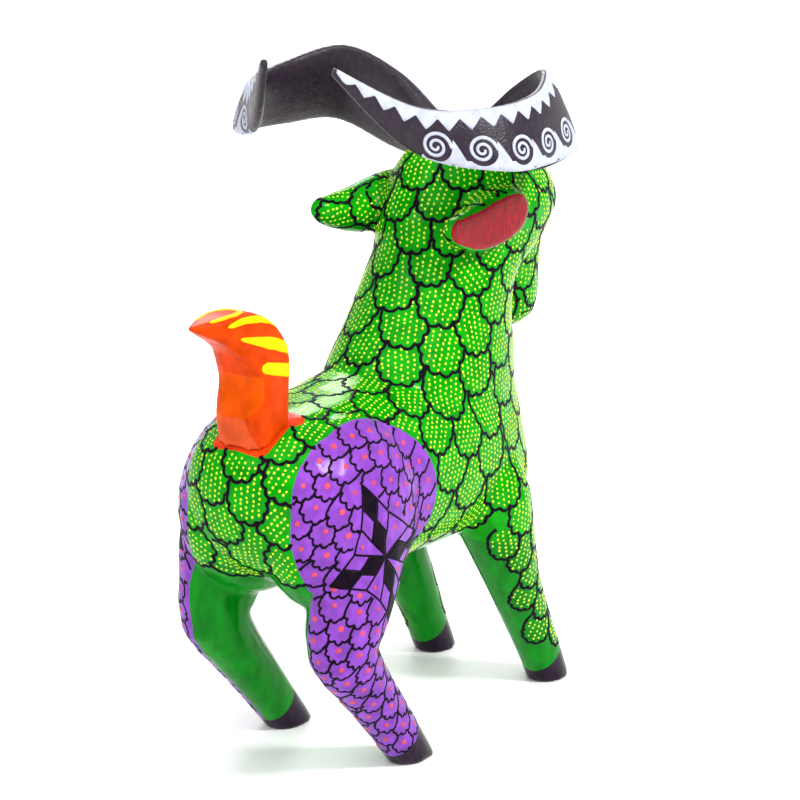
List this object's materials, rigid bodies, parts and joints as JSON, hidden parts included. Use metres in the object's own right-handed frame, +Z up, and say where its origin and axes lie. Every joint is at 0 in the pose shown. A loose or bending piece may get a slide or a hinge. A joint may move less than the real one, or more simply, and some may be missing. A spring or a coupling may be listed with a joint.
{
  "type": "carved wooden goat figure",
  "caption": "Standing carved wooden goat with curled band horns and a hooked tail that plug in on round pegs, painted with scales, dots and scrolls.",
  "frame": {"origin": "on the table, under the middle of the figure's bounding box", "axes": "+Z up, -Y the way the figure faces, +X the figure's left"},
  "size_m": [0.1054, 0.1734, 0.2165],
  "materials": {
    "painted_body": "glossy acrylic paint",
    "painted_horn": "glossy acrylic paint",
    "painted_tail": "glossy acrylic paint",
    "bare_wood": "matt"
  },
  "bodies": {
    "figure": {"body": "painted_body"},
    "right_horn_plug": {"right_horn": "painted_horn", "right_horn_peg": "bare_wood"},
    "left_horn_plug": {"left_horn": "painted_horn", "left_horn_peg": "bare_wood"},
    "tail_plug": {"tail": "painted_tail", "tail_peg": "bare_wood"}
  },
  "joints": [
    {"name": "right_horn_pull", "type": "slide", "parent": "figure", "child": "right_horn_plug", "axis": [0, 0, 1], "range_m": [0, 0.02]},
    {"name": "left_horn_pull", "type": "slide", "parent": "figure", "child": "left_horn_plug", "axis": [0, 0, 1], "range_m": [0, 0.02]},
    {"name": "tail_pull", "type": "slide", "parent": "figure", "child": "tail_plug", "axis": [0, 0, 1], "range_m": [0, 0.02]}
  ]
}
